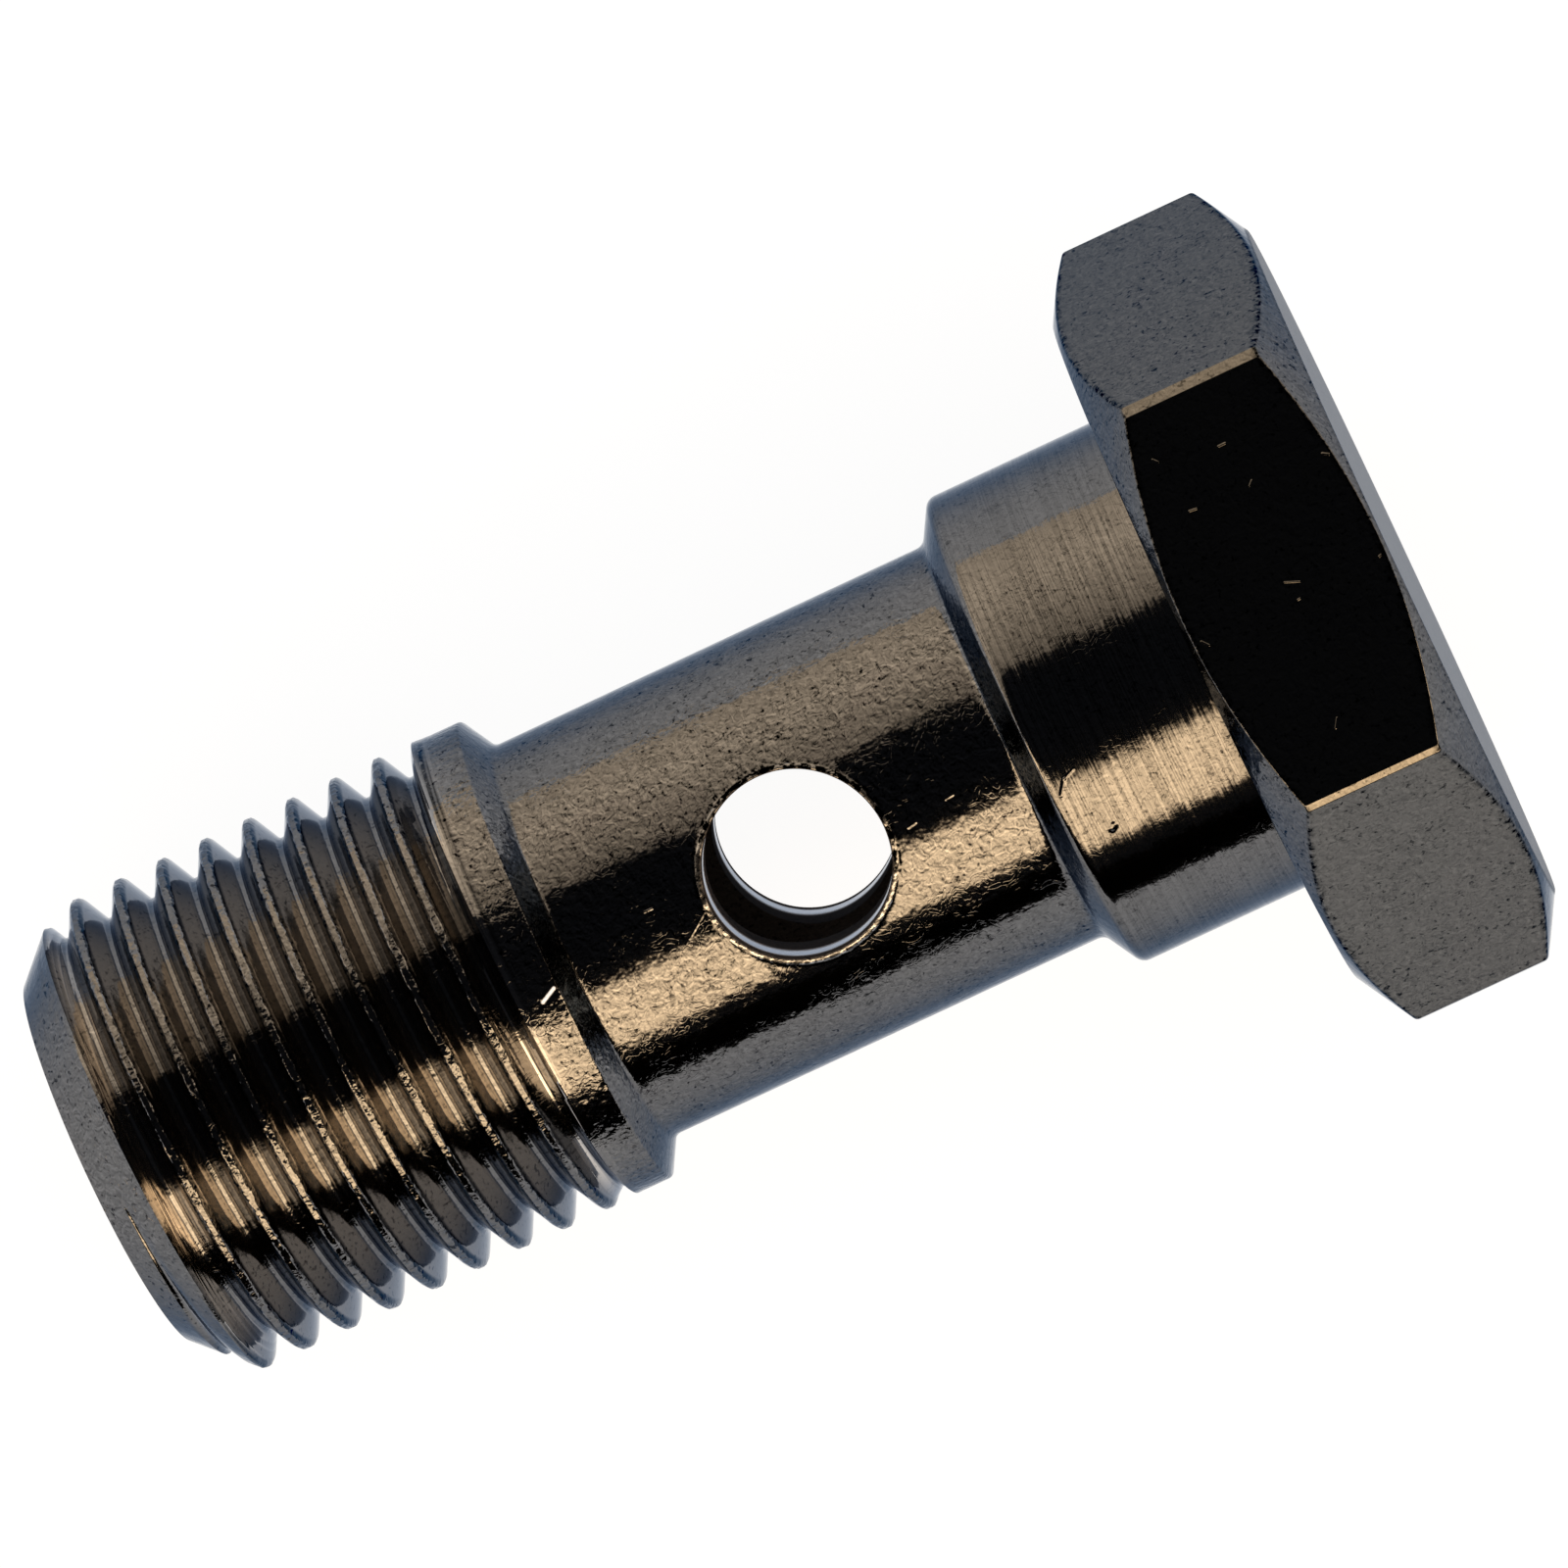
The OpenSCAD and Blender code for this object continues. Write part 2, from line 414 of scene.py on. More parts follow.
def add_mesh(name, points, faces):
    """Object with a mesh of those points and faces."""
    mesh = bpy.data.meshes.new(name)
    mesh.from_pydata(points, [], faces)
    return add_object(name, mesh)


bolt_surface = bolt_shell()
blank = add_mesh("blank", bolt_surface.points, bolt_surface.faces)


class Wire:
    """A socket in a node tree. Arithmetic on it adds Math nodes."""

    def __init__(self, tree, socket=None):
        self.tree = tree
        self.socket = socket

    def node(self, kind, values=(), output=0, **settings):
        """Adds a node: its settings first, then the values or wires of its inputs."""
        made = self.tree.nodes.new(kind)
        for name, value in settings.items():
            setattr(made, name, value)
        for name, value in dict(values).items():
            if isinstance(value, Wire):
                self.tree.links.new(value.socket, made.inputs[name])
            else:
                made.inputs[name].default_value = value
        return Wire(self.tree, made.outputs[output])

    def end(self, kind):
        """Adds an output node and leads this to its first input."""
        made = self.tree.nodes.new(kind)
        self.tree.links.new(self.socket, made.inputs[0])

    def math(self, operation, *values):
        return self.node("ShaderNodeMath", enumerate((self, *values)), operation=operation)

    def __add__(self, other):
        return self.math("ADD", other)

    def __sub__(self, other):
        return self.math("SUBTRACT", other)

    def __mul__(self, other):
        return self.math("MULTIPLY", other)

    def __truediv__(self, other):
        return self.math("DIVIDE", other)

    def __rsub__(self, other):
        return self.node("ShaderNodeMath", {0: other, 1: self}, operation="SUBTRACT")

    __radd__ = __add__
    __rmul__ = __mul__

    def least(self, other):
        return self.math("MINIMUM", other)

    def most(self, other):
        return self.math("MAXIMUM", other)

    def smooth(self, low, high, to_low=0.0, to_high=1.0):
        """Smooth step from to_low to to_high as this goes from low to high."""
        return self.node(
            "ShaderNodeMapRange",
            {0: self, 1: low, 2: high, 3: to_low, 4: to_high},
            interpolation_type="SMOOTHSTEP",
        )

    def straight(self, low, high, to_low, to_high):
        """Straight change from to_low to to_high as this goes from low to high."""
        return self.node(
            "ShaderNodeMapRange", {0: self, 1: low, 2: high, 3: to_low, 4: to_high})

    def fade(self, low, high):
        """Smooth step from 1 to 0 as this goes from low to high."""
        return self.smooth(low, high, 1.0, 0.0)

    def band(self, low, full, past, high):
        """1 from full to past, and 0 below low and above high."""
        return self.smooth(low, full) * self.fade(past, high)

    def xyz(self, *parts):
        return self.node("ShaderNodeCombineXYZ", enumerate(parts))

    def parts(self):
        """The three components of a vector."""
        made = self.node("ShaderNodeSeparateXYZ", {0: self}).socket.node
        return [Wire(self.tree, part) for part in made.outputs]

    def vector(self, operation, *values, output=0):
        return self.node(
            "ShaderNodeVectorMath", enumerate((self, *values)), output, operation=operation)

    def stretched(self, vector):
        """A vector times this."""
        return self.node(
            "ShaderNodeVectorMath", {0: vector, "Scale": self}, operation="SCALE")


# Thread: a grid whose rows follow the helix, with worn crests and narrow roots.
# Its two ends stop at the end face and at the land, and merge with the blank.
THREAD_STEPS = SHANK_COLUMNS
ROWS_PER_PITCH = 20
ROW_CROWDING = 0.6
TURNS_BEFORE = 2
HALF_ANGLE = math.radians(28)
THREAD_DEPTH = 0.6
CREST_HALF_WIDTH = 0.07
CREST_ROUNDING = 0.04
ROOT_ROUNDING = 0.1
# Distances from a crest's middle, where the flank's finish begins and ends
FLANK_BAND = (0.07, 0.11, 0.36, 0.40)
CREST_FADE = (0.05, 0.12)
# The tears in the crests: their depth, and the noise that they follow
BURR = 0.03
TEAR_RADIUS = 4.6
TEAR_STRETCH = 1.5
TEAR_NOISE = {"Scale": 2.2, "Detail": 4.0, "Roughness": 0.7}
MERGE_DISTANCE = 0.002


def thread_tree():
    tree = bpy.data.node_groups.new("helical thread", "GeometryNodeTree")
    inputs = {}
    for name, kind, value in (
        ("Geometry", "NodeSocketGeometry", None),
        ("Pitch", "NodeSocketFloat", PITCH),
        ("Outside Radius", "NodeSocketFloat", THREAD_RADIUS),
        ("Land Radius", "NodeSocketFloat", LAND_RADIUS),
        ("End Radius", "NodeSocketFloat", END_RADIUS),
        ("Length", "NodeSocketFloat", THREAD_LENGTH),
        ("Depth", "NodeSocketFloat", THREAD_DEPTH),
        ("Crest Half Width", "NodeSocketFloat", CREST_HALF_WIDTH),
        ("Runout", "NodeSocketFloat", RUNOUT_LENGTH),
        ("Burr", "NodeSocketFloat", BURR),
        ("Material", "NodeSocketMaterial", None),
    ):
        socket = tree.interface.new_socket(name, in_out="INPUT", socket_type=kind)
        if value is not None:
            socket.default_value = value
        inputs[name] = socket.identifier
    tree.interface.new_socket("Geometry", in_out="OUTPUT", socket_type="NodeSocketGeometry")
    group = tree.nodes.new("NodeGroupInput")
    given = {socket.name: Wire(tree, socket) for socket in group.outputs if socket.name}
    start = Wire(tree)

    turns = math.ceil(THREAD_LENGTH / PITCH) + TURNS_BEFORE + 1
    grid = start.node("GeometryNodeMeshGrid", {
        "Size X": 1.0, "Size Y": 1.0,
        "Vertices X": THREAD_STEPS + 1, "Vertices Y": turns * ROWS_PER_PITCH + 1})
    along, up, _ = start.node("GeometryNodeInputPosition").parts()
    turn = along + 0.5
    # Rows are counted in pitches, and a full turn of the grid climbs one of them. They lie
    # closer together near the crests and the roots.
    row = (up + 0.5) * turns
    row = row - (row * (4 * math.pi)).math("SINE") * (ROW_CROWDING / (4 * math.pi))
    angle = turn * math.tau + CROSS_TURN
    pitch = given["Pitch"]
    free = pitch * (row + turn + ((CROSS_TURN - THREAD_PHASE) / math.tau - TURNS_BEFORE))
    length = given["Length"]
    level = free.most(0.0).least(length)

    # Depth below the crest: a narrow crest, a straight flank and a rounded root
    from_crest = row.math("PINGPONG", 0.5) * pitch
    slope = (from_crest - given["Crest Half Width"]) * (1 / math.tan(HALF_ANGLE))
    depth = slope.math("SMOOTH_MAX", 0.0, CREST_ROUNDING)
    depth = depth.math("SMOOTH_MIN", given["Depth"], ROOT_ROUNDING)

    # Towards the land the groove runs out, and the end of the thread is chamfered
    left = ((length - level) / given["Runout"]).least(1.0).most(0.0)
    outside = given["Land Radius"] + (given["Outside Radius"] - given["Land Radius"]) * left
    groove = given["Outside Radius"] - depth + given["Depth"] * (1 - left)
    chamfer = given["End Radius"] + level

    # The crests are torn and burred, always inside the full size
    x = angle.math("COSINE")
    y = angle.math("SINE")
    spot = start.xyz(x * TEAR_RADIUS, y * TEAR_RADIUS, level * TEAR_STRETCH)
    tear = spot.node("ShaderNodeTexNoise", {"Vector": spot, **TEAR_NOISE})
    near_crest = from_crest.fade(*CREST_FADE)
    inside = level.smooth(0.0, 0.5) * left
    torn = tear.smooth(0.45, 0.75) * near_crest * inside * given["Burr"]
    radius = groove.least(outside).least(chamfer) - torn

    # The plating reads where the flanks and the crests are
    below = given["Outside Radius"] - radius
    off_chamfer = (chamfer - radius).smooth(0.02, 0.12)
    marked = grid
    for name, value in (
        ("flank", from_crest.band(*FLANK_BAND) * below.smooth(0.02, 0.08) * off_chamfer),
        ("crest", near_crest * off_chamfer * inside),
    ):
        marked = marked.node(
            "GeometryNodeStoreNamedAttribute",
            {"Geometry": marked, "Name": name, "Value": value},
            data_type="FLOAT", domain="POINT")
    surface = marked.node("GeometryNodeSetPosition", {
        "Geometry": marked, "Position": start.xyz(radius * x, radius * y, level)})
    joined = surface.node("GeometryNodeJoinGeometry", {0: surface})
    tree.links.new(given["Geometry"].socket, joined.socket.node.inputs[0])
    merged = joined.node(
        "GeometryNodeMergeByDistance", {"Geometry": joined, "Distance": MERGE_DISTANCE})
    realized = merged.node("GeometryNodeRealizeInstances", {"Geometry": merged})
    smooth = realized.node("GeometryNodeSetShadeSmooth", {"Geometry": realized})
    smooth.node(
        "GeometryNodeSetMaterial", {"Geometry": smooth, "Material": given["Material"]},
    ).end("NodeGroupOutput")
    return tree, inputs


# Where the bolt lies: its axis and bearing face are where the frame's mounts put them
mounts = {mount["name"]: mount for mount in frame["record"]["mounts"]}
to_head = Vector(mounts["spanner_hexagon"]["axis"]).normalized()
collar_length = mounts["collar"]["dims"]["length_mm"] * MM
seat_centre = Vector(mounts["collar"]["pos_m"]) + to_head * collar_length / 2
end_centre = seat_centre - to_head * UNDER_HEAD * MM
sideways = Vector((0, 1, 0))
lying = Matrix.Translation(end_centre) @ Matrix(
    (sideways.cross(to_head), sideways, to_head)).transposed().to_4x4()


def cleared(owner):
    """Empties the nodes of a new material or world, and returns a wire to build them with."""
    owner.use_nodes = True
    owner.node_tree.nodes.clear()
    return Wire(owner.node_tree)


class Places:
    """Places on the bolt: its upright coordinates in millimetres, and masks from 0 to 1."""

    def __init__(self, start):
        here = start.node("ShaderNodeTexCoord", output="Object")
        self.upright = here.node("ShaderNodeMapping", {
            "Vector": here, "Location": lying.translation, "Rotation": lying.to_euler(),
            "Scale": (MM, MM, MM)}, vector_type="TEXTURE")
        x, y, level = self.x, self.y, self.level = self.upright.parts()
        radius = self.radius = (x * x + y * y).math("SQRT")

        # Stretches along the axis, and the side of the shank that lies uppermost, facing the
        # lights, where patterns are painted stronger and the collar painted lighter, as painted
        # light
        self.flank = start.node("ShaderNodeAttribute", output="Fac", attribute_name="flank")
        self.crest = start.node("ShaderNodeAttribute", output="Fac", attribute_name="crest")
        self.thread = level.fade(THREAD_LENGTH - 0.1, THREAD_LENGTH)
        self.first_turn = level.fade(0.9, 1.9) * (radius - END_RADIUS - level).fade(-0.2, -0.05)
        self.last_turn = level.smooth(THREAD_LENGTH - 0.6, THREAD_LENGTH - 0.4)
        self.land = level.band(THREAD_LENGTH - 0.02, THREAD_LENGTH, LAND_TOP, LAND_TOP + 0.05)
        self.head = level.smooth(UNDER_HEAD - 0.02, UNDER_HEAD + 0.02)
        self.collar = level.smooth(NECK_TOP, COLLAR_LEVEL) * (1 - self.head)
        self.crown = level.smooth(CROWN_LEVEL - 0.06, CROWN_LEVEL - 0.02)
        self.end_faces = self.crown + level.fade(0.0, 0.02)
        self.uppermost = (x / radius).fade(-0.92, -0.7) * (1 - self.head)

        # The hexagon's flats, between the cones of the head's two chamfers, and their edges
        seat_cone = level - UNDER_HEAD - (radius - SEAT_RADIUS) * HEAD_CHAMFER
        crown_cone = CROWN_LEVEL - level - (radius - CROWN_RADIUS) * HEAD_CHAMFER
        border = seat_cone.least(crown_cone)
        self.flat = seat_cone.smooth(0.02, 0.06) * crown_cone.smooth(0.02, 0.06) * self.head
        self.flat_edge = border.band(0.004, 0.012, 0.03, 0.16) * self.head
        self.arris = border.band(0.0, 0.004, 0.03, 0.05) * self.head

        # The cross hole: the lip round its mouths, a ragged dark rim round the lip that is
        # painted shade, a side of the lip that is painted darker as shade, and in the hole a
        # bright ring at each mouth that is a painted reflection, and the wall, which is dull and
        # painted darker as shade
        across = y * math.cos(CROSS_TURN) - x * math.sin(CROSS_TURN)
        rise = level - CROSS_LEVEL
        from_hole = (across * across + rise * rise).math("SQRT") - CROSS_RADIUS
        neck_skin = radius.smooth(NECK_RADIUS - 0.08, NECK_RADIUS - 0.03)
        self.lip = (from_hole - 0.07).math("ABSOLUTE").fade(0.02, 0.06) * neck_skin
        # A ragged dark rim round the lip, painted shade
        self.rim = (from_hole - 0.15).math("ABSOLUTE").fade(0.01, 0.05) * neck_skin
        # One side of the lip, which is painted darker as shade
        self.worn = (across * 0.85 + rise * 0.5).smooth(-0.2, 0.7)
        in_hole = from_hole.fade(0.01, 0.04)
        ring_foot = (NECK_RADIUS - 1.2, NECK_RADIUS - 0.8)
        ring_head = (NECK_RADIUS - 0.5, NECK_RADIUS - 0.25)
        # A bright ring in the hole, which is a painted reflection
        self.ring = in_hole * radius.band(*ring_foot, *ring_head)
        # The holes' walls deep inside, which are painted darker as shade
        deep = radius.fade(*ring_foot).most(in_hole * radius.smooth(*ring_head))
        self.deep = deep * level.band(5.0, 6.0, 21.0, 22.0)


def grain(place, scale, detail=2.0, rough=0.5, bend=0.0):
    """Noise round 0.5, with about as many lumps in a millimetre as its scale says."""
    return place.node("ShaderNodeTexNoise", {
        "Vector": place, "Scale": scale, "Detail": detail, "Roughness": rough,
        "Distortion": bend})


def worms(place, scale, width, bend):
    """Thin wavy lines, where a noise passes through its middle value."""
    return (grain(place, scale, 1.0, 0.5, bend) - 0.5).math("ABSOLUTE").fade(0.0, width)


# How fast a turning mark changes on its way round the axis
CIRCLE_CHANGE = 0.12


def circles(at, pitch, offset, detail, rough, along):
    """Uneven lines round the axis, about a pitch apart."""
    lay = along.xyz(at.x * CIRCLE_CHANGE + offset, at.y * CIRCLE_CHANGE, along * (1 / pitch))
    return grain(lay, 1.0, detail, rough)


# Marks of use that the photo shows: two ends of each, upright, and its reach. The last is
# a bright sliver torn off the thread's last crest.
MARKS = (
    ((-4.81, 0.12, 2.564), (-4.81, -0.03, 2.647), 0.035),
    ((-4.055, -0.344, 11.62), (-4.055, -0.345, 11.78), 0.04),
    ((-3.906, -1.142, 12.174), (-3.987, -0.817, 12.636), 0.035),
    ((-3.949, -0.985, 16.755), (-3.956, -0.956, 16.905), 0.045),
    ((-3.99, -0.805, 17.605), (-3.994, -0.785, 17.755), 0.04),
    ((-4.533, -1.697, 19.618), (-4.619, -1.446, 19.801), 0.07),
    ((-4.619, -1.446, 19.801), (-4.647, -1.353, 20.027), 0.05),
    ((-4.078, -2.606, 20.202), (-4.1, -2.57, 20.25), 0.12),
    ((-7.0, 2.705, 25.05), (-7.0, 2.706, 25.18), 0.04),
    ((-7.0, 1.85, 24.07), (-7.0, 1.835, 24.2), 0.038),
    ((-7.0, -0.076, 25.1), (-7.0, -0.181, 25.36), 0.03),
    ((-7.0, -2.737, 24.93), (-7.0, -2.896, 24.83), 0.035),
    ((-7.0, 1.776, 26.72), (-7.0, 1.711, 26.82), 0.045),
    ((-7.0, 1.803, 25.26), (-7.0, 1.882, 25.34), 0.03),
    ((-7.0, -0.38, 26.87), (-7.0, -0.365, 26.91), 0.04),
    ((-7.0, -0.471, 25.19), (-7.0, -0.465, 25.23), 0.035),
    ((-7.0, 3.0, 23.85), (-7.0, 2.91, 23.93), 0.03),
    ((-7.0, -0.42, 23.265), (-7.0, -0.54, 23.365), 0.04),
    ((-4.666, -1.127, 9.25), (-4.7, -0.975, 9.55), 0.05),
)
MARK_TILT = 1.4
SLIVER_FADE = (0.03, 0.06)


def marked(at, sway):
    """Scratches and dings are grooves, whose sides tip away from their middle line. Returns
    the surface's sway with theirs added, and the mask of the bright sliver."""
    for one, other, reach in MARKS:
        way = Vector(other) - Vector(one)
        offset = at.upright.vector("SUBTRACT", one)
        share = offset.vector("DOT_PRODUCT", way / way.length_squared, output=1)
        share = share.most(0.0).least(1.0)
        away = share.stretched(way * -1).vector("ADD", offset)
        gap = away.vector("LENGTH", output=1)
        tilt = gap.smooth(0.0, reach, MARK_TILT / reach, 0.0)
        sway = sway.vector("ADD", tilt.stretched(away))
    return sway, gap.fade(*SLIVER_FADE)


# Reflectance of the plating, and how much more the thread's flanks have
PLATING = 0.112
FLANK_PLATING = 0.15
# Times that reflectance, where no pattern makes the plating lighter or darker
CLEAR_SHADE = 1.14
CLEAR_ROUGHNESS = 0.065
# Seen at a slant, the plating turns darker and bluer
SLANT_TINT = (0.38, 0.44, 0.54, 1)
# Height of one unit of the bumps, in metres
BUMP_UNIT = 0.0000025
# The relief is what a noise changes over this step, as if lit from one side
RELIEF_STEP = (0.0, 0.03, 0.02)
RELIEF_CONTRAST = 3.0
# How far a turning mark tips the surface
TURNED_SWAY = 0.15


def plated_steel():
    """Dark bright nickel over turned steel."""
    material = bpy.data.materials.new("plated steel")
    start = cleared(material)
    at = Places(start)
    flank, crest = at.flank, at.crest

    # Turning marks are circles round the axis, so they follow level plus radius
    along = at.level + at.radius
    turned = (1 - at.flat) * (1 - at.thread) * (at.collar * 0.7 + 0.3)
    # Turning marks are painted stronger on the lit top of the shank than on its sides
    turned = turned * (at.uppermost * 0.65 + 0.35) + at.end_faces * 0.6
    lines = circles(at, 0.055, 0.0, 3.0, 0.8, along) * 0.6
    lines = lines + circles(at, 0.03, 5.0, 1.0, 0.5, along) * 0.4
    lines = lines.smooth(0.4, 0.6) * turned
    # The thread's first and last turns have a few rough ridges
    ridges = circles(at, 0.07, 7.0, 1.0, 0.5, at.level).smooth(0.42, 0.62)
    ridges = ridges * (at.first_turn + at.last_turn) * at.thread * (1 - crest)

    # The bar's skin and the plating: lumps, their relief, worm-like dents and strokes, and
    # specks
    where = grain(at.upright, 0.9, 1.0)
    lumps = grain(at.upright, 4.0)
    beside = at.upright.vector("ADD", RELIEF_STEP)
    relief = grain(at.upright, 6.0, 2.0, 0.6, 0.8) - grain(beside, 6.0, 2.0, 0.6, 0.8)
    relief = relief * RELIEF_CONTRAST
    dents = worms(at.upright, 3.2, 0.06, 1.8) * where.smooth(0.36, 0.6)
    strokes = worms(at.upright, 5.0, 0.035, 1.2) * (1 - at.thread)
    specks = (grain(at.upright, 9.0, 1.0) + at.flat_edge * 0.07).smooth(0.64, 0.69)
    specks = specks * where.smooth(0.3, 0.55, 0.35, 1.0)

    # The thread's crests, the land and the holes' lips are torn into bright grains, and the
    # crests have ragged dark outlines, which are painted shade
    torn = grain(at.upright, 6.5)
    grains = (torn - 0.5) * (crest * 0.8 + at.lip + at.land * 0.6)
    outline = crest.smooth(0.02, 0.2) * (crest + grain(at.upright, 7.0) * 2.2).fade(1.6, 1.85)

    smoothness = (1 - flank * 0.8) * (1 - at.flat * 0.85) * (1 - at.collar * 0.6)
    height = (lumps * 4.0 - dents * 0.5) * smoothness + grains * 12.0 + ridges * 2.0
    bump = height.node("ShaderNodeBump", {
        "Height": height, "Distance": BUMP_UNIT, "Strength": 1.0})

    # Each turning mark also tips the surface a little round the axis, which frays the
    # edges of what the collar reflects
    tip = (circles(at, 0.05, 3.0, 3.0, 0.7, along) - 0.5) * turned * TURNED_SWAY
    sway = start.xyz(at.y / at.radius * tip * -1.0, at.x / at.radius * tip)
    sway, sliver = marked(at, sway)
    sway = sway.node("ShaderNodeMapping", {
        "Vector": sway, "Rotation": lying.to_euler()}, vector_type="VECTOR")
    normal = bump.vector("ADD", sway).vector("NORMALIZE")

    # Each pattern makes the plating lighter or darker by a share of its own. On the lit top of
    # the shank the relief and the strokes are painted stronger and the collar is painted lighter,
    # as painted highlight and shade
    lighter = (
        relief * (0.5 + at.uppermost * 0.75) * (1 - at.collar * 0.65)
        * (1 - at.thread * 0.4 - flank * 0.4)
        + at.collar * (at.uppermost * 0.16 + 0.12)
        + ridges * 0.9
    )
    darker = (
        lines * (0.4 + at.collar * 0.25)
        + specks * (0.65 - at.collar * 0.35)
        + dents * 0.2 * (1 - at.thread)
        + strokes * (0.3 + at.uppermost * 0.3)
        # The flats' edges have dark pits, and the rim round the lip is painted dark as shade
        + torn.smooth(0.42, 0.56) * (at.flat_edge * 0.6 + at.rim * 0.9)
        # The crests' ragged dark outlines are painted shade
        + outline * 0.85
        + at.arris * 0.25
    )
    shade = CLEAR_SHADE + lighter - darker

    # The holes' walls are dull, and their colour is painted darker as shade deep in the holes.
    # The bright rings in the holes are painted reflections, and the lip has a dotted painted
    # highlight with one side painted darker as shade
    value = (flank * FLANK_PLATING + PLATING) * shade
    value = value * (1 - at.deep * 0.7) * (1 - at.flat * 0.08)
    # A dotted painted highlight along the lip, painted darker as shade on one side
    lip_glints = torn.smooth(0.45, 0.58) * 0.34 - at.worn * 0.22 - 0.02
    value = value + at.ring * 0.45 + at.lip * lip_glints + sliver * 0.75

    # The flanks and the holes' walls are warmer than the rest
    colour = start.node("ShaderNodeCombineColor", {
        0: value,
        1: value * (0.99 - at.deep * 0.2 - flank * 0.06 - at.flat * 0.04),
        2: value * (1 - at.deep * 0.35 - flank * 0.14 - at.flat * 0.12)})
    rough = lumps * 0.03 + CLEAR_ROUGHNESS
    rough = rough + at.deep * 0.4 + at.crown * 0.23 + at.lip * 0.2 + sliver * 0.3
    start.node("ShaderNodeBsdfPrincipled", {
        "Base Color": colour,
        "Metallic": (1 - at.deep * 0.9) * (1 - sliver),
        "Roughness": rough,
        "Specular IOR Level": 0.0,
        "Specular Tint": SLANT_TINT,
        "Normal": normal,
    }).end("ShaderNodeOutputMaterial")
    return material


# The thread's ends are merged with the blank, and shorter edges than this are closed up
SHORTEST_EDGE = 0.0005
SHARP_ANGLE = math.radians(40)
tree, tree_inputs = thread_tree()
modifier = blank.modifiers.new("thread", "NODES")
modifier.node_group = tree
modifier[tree_inputs["Material"]] = plated_steel()
bpy.context.view_layer.update()
evaluated = blank.evaluated_get(bpy.context.evaluated_depsgraph_get())
bolt_mesh = bpy.data.meshes.new_from_object(evaluated)
bolt_mesh.name = "banjo_bolt_plated"
bpy.data.objects.remove(blank)

shape = bmesh.new()
shape.from_mesh(bolt_mesh)
bmesh.ops.remove_doubles(shape, verts=shape.verts, dist=MERGE_DISTANCE)
bmesh.ops.dissolve_degenerate(shape, edges=shape.edges, dist=SHORTEST_EDGE)
bmesh.ops.recalc_face_normals(shape, faces=shape.faces)
shape.to_mesh(bolt_mesh)
shape.free()
bolt_mesh.transform(lying @ Matrix.Scale(MM, 4))
bolt_mesh.set_sharp_from_angle(angle=SHARP_ANGLE)
bolt = add_object("banjo_bolt_plated", bolt_mesh)

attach(bolt, "root")
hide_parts("banjo_bolt")

# Table
# A wide matt white sheet under the bolt. Cameras and reflections see it as white, and it
# still takes the bolt's soft shadow.
TABLE_HALF = 1.5
SHEET_COLOUR = (0.12, 0.12, 0.12, 1)
SHEET_GLOW = 0.9
WHITE = (1, 1, 1, 1)


def white_sheet():
    material = bpy.data.materials.new("white sheet")
    start = cleared(material)
    seen = start.node("ShaderNodeLightPath", output="Is Camera Ray")
    glossy = start.node("ShaderNodeLightPath", output="Is Glossy Ray")
    through = start.node("ShaderNodeLightPath", output="Is Transmission Ray")
    shown = (seen + glossy + through).least(1.0)
    paper = start.node("ShaderNodeBsdfDiffuse", {"Color": SHEET_COLOUR})
    glow = start.node("ShaderNodeEmission", {"Color": WHITE, "Strength": shown * SHEET_GLOW})
    start.node("ShaderNodeAddShader", {0: paper, 1: glow}).end("ShaderNodeOutputMaterial")
    return material


table = add_mesh(
    "table",
    [(x * TABLE_HALF, y * TABLE_HALF, 0) for x, y in ((-1, -1), (1, -1), (1, 1), (-1, 1))],
    [(0, 1, 2, 3)])
table.data.materials.append(white_sheet())

# Studio
# The white sheet runs on to the horizon. A wide soft light stands behind the bolt and a
# warm, brighter one in front of it, with a dark ceiling between them.
# Angles are in degrees round the bolt's length, from straight up towards the front.
WIDE_COLOUR = (1.0, 0.80, 0.575)
WIDE_STRENGTH = 1.75
WIDE_EDGE = (-29.0, -24.0)
# Two angles, and the shares of its strength there
WIDE_FALL = (-62.0, -24.0, 1.0, 0.35)
WIDE_BACK = (-100.0, -62.0, 0.8, 1.0)
WARM_COLOUR = (1.0, 0.72, 0.427)
WARM_STRENGTH = 5.4
WARM_BAND = (28.5, 37.0, 65.0, 70.0)
CEILING_COLOUR = (0.8, 0.85, 1)
CEILING_STRENGTH = 0.02
# Degrees above the horizon, up to which the sheet is seen
HORIZON_FADE = (1.0, 2.5)


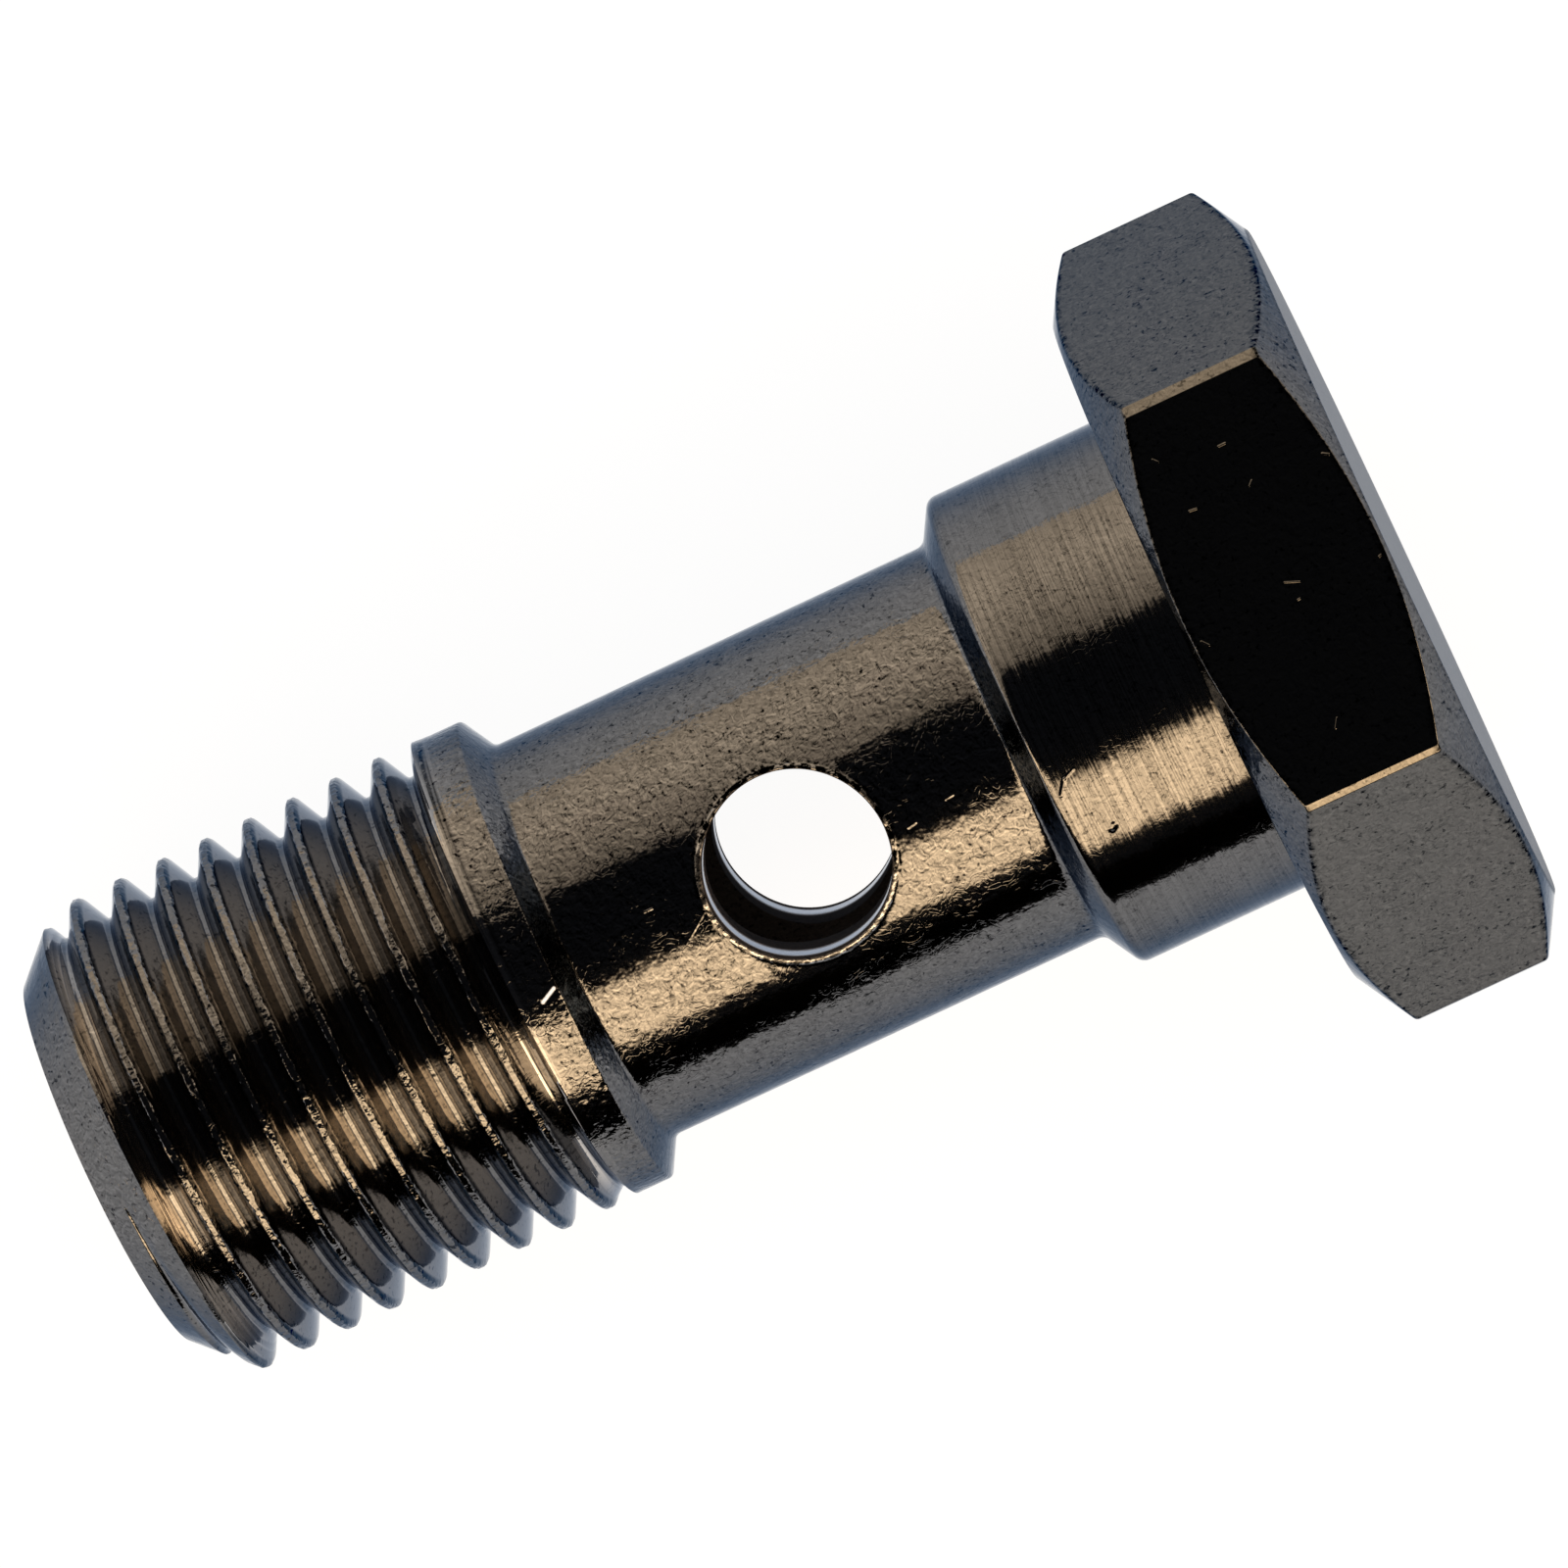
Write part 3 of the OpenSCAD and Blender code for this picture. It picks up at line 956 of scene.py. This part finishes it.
def studio():
    world = bpy.data.worlds.new("studio")
    start = cleared(world)
    way = start.node("ShaderNodeTexCoord", output="Generated")
    _, y, z = way.parts()
    angle = (y * -1.0).math("ARCTAN2", z) * (180 / math.pi)
    rise = z.math("ARCSINE") * (180 / math.pi)

    wide = angle.fade(*WIDE_EDGE) * angle.straight(*WIDE_FALL) * angle.smooth(*WIDE_BACK)
    warm = angle.band(*WARM_BAND)
    horizon = rise.fade(*HORIZON_FADE)
    above = 1 - horizon

    def glow(mask, colour, strength):
        return start.node("ShaderNodeBackground", {
            "Color": (*colour, 1), "Strength": mask * strength})

    lights = start.node("ShaderNodeAddShader", {
        0: glow(wide * above, WIDE_COLOUR, WIDE_STRENGTH),
        1: glow(warm * above, WARM_COLOUR, WARM_STRENGTH),
    })
    room = start.node("ShaderNodeAddShader", {
        0: glow(horizon, WHITE[:3], 1.0),
        1: glow(above, CEILING_COLOUR, CEILING_STRENGTH),
    })
    # Reflections see the lights, and matt surfaces an even white dome
    sharp = start.node("ShaderNodeAddShader", {0: lights, 1: room})
    soft = start.node("ShaderNodeBackground", {"Color": WHITE, "Strength": 1.0})
    matt = start.node("ShaderNodeLightPath", output="Is Diffuse Ray")
    start.node(
        "ShaderNodeMixShader", {0: matt, 1: sharp, 2: soft}).end("ShaderNodeOutputWorld")
    return world


# A black flag stands on the table in front, outside the picture, and only reflections
# see it. It draws the dark line under the warm light.
FLAG_DISTANCE = 0.055
FLAG_HEIGHT = 0.02
flag = add_mesh(
    "flag",
    [(x * TABLE_HALF, -FLAG_DISTANCE, z * FLAG_HEIGHT)
     for x, z in ((-1, 0), (1, 0), (1, 1), (-1, 1))],
    [(0, 1, 2, 3)])
flag_cloth = bpy.data.materials.new("black cloth")
cleared(flag_cloth).node("ShaderNodeBsdfPrincipled", {
    "Base Color": (0, 0, 0, 1), "Specular IOR Level": 0.0}).end("ShaderNodeOutputMaterial")
flag.data.materials.append(flag_cloth)
flag.visible_camera = False
flag.visible_diffuse = False
flag.visible_shadow = False
bpy.context.scene.world = studio()
bpy.context.scene.view_settings.view_transform = "Standard"

# Camera
# It looks down on the bolt, a little from its threaded end and front, with the bolt
# rolled in the frame so that the head is at the upper right.
FRAME_PIXELS = 1600
FOCAL_PIXELS = 12173
SENSOR = 36.0
# The point it aims at, and its distance from there, in millimetres
CAMERA_AIM = (0.963, 1.019, 7.0)
CAMERA_DISTANCE = 225.3
# Degrees that it is turned by from looking straight down
CAMERA_TURNS = (5.246, -1.466, -24.607)
CLIP_START = 0.01
CLIP_END = 10

camera_data = bpy.data.cameras.new("camera")
camera_data.sensor_width = SENSOR
camera_data.lens = FOCAL_PIXELS / FRAME_PIXELS * SENSOR
camera_data.clip_start = CLIP_START
camera_data.clip_end = CLIP_END
camera = add_object("camera", camera_data)
camera_turn = Euler([math.radians(degrees) for degrees in CAMERA_TURNS], "ZXY").to_matrix()
camera_place = (Vector(CAMERA_AIM) + camera_turn.col[2] * CAMERA_DISTANCE) * MM
camera.matrix_world = Matrix.Translation(camera_place) @ camera_turn.to_4x4()
bpy.context.scene.camera = camera

bpy.context.view_layer.update()
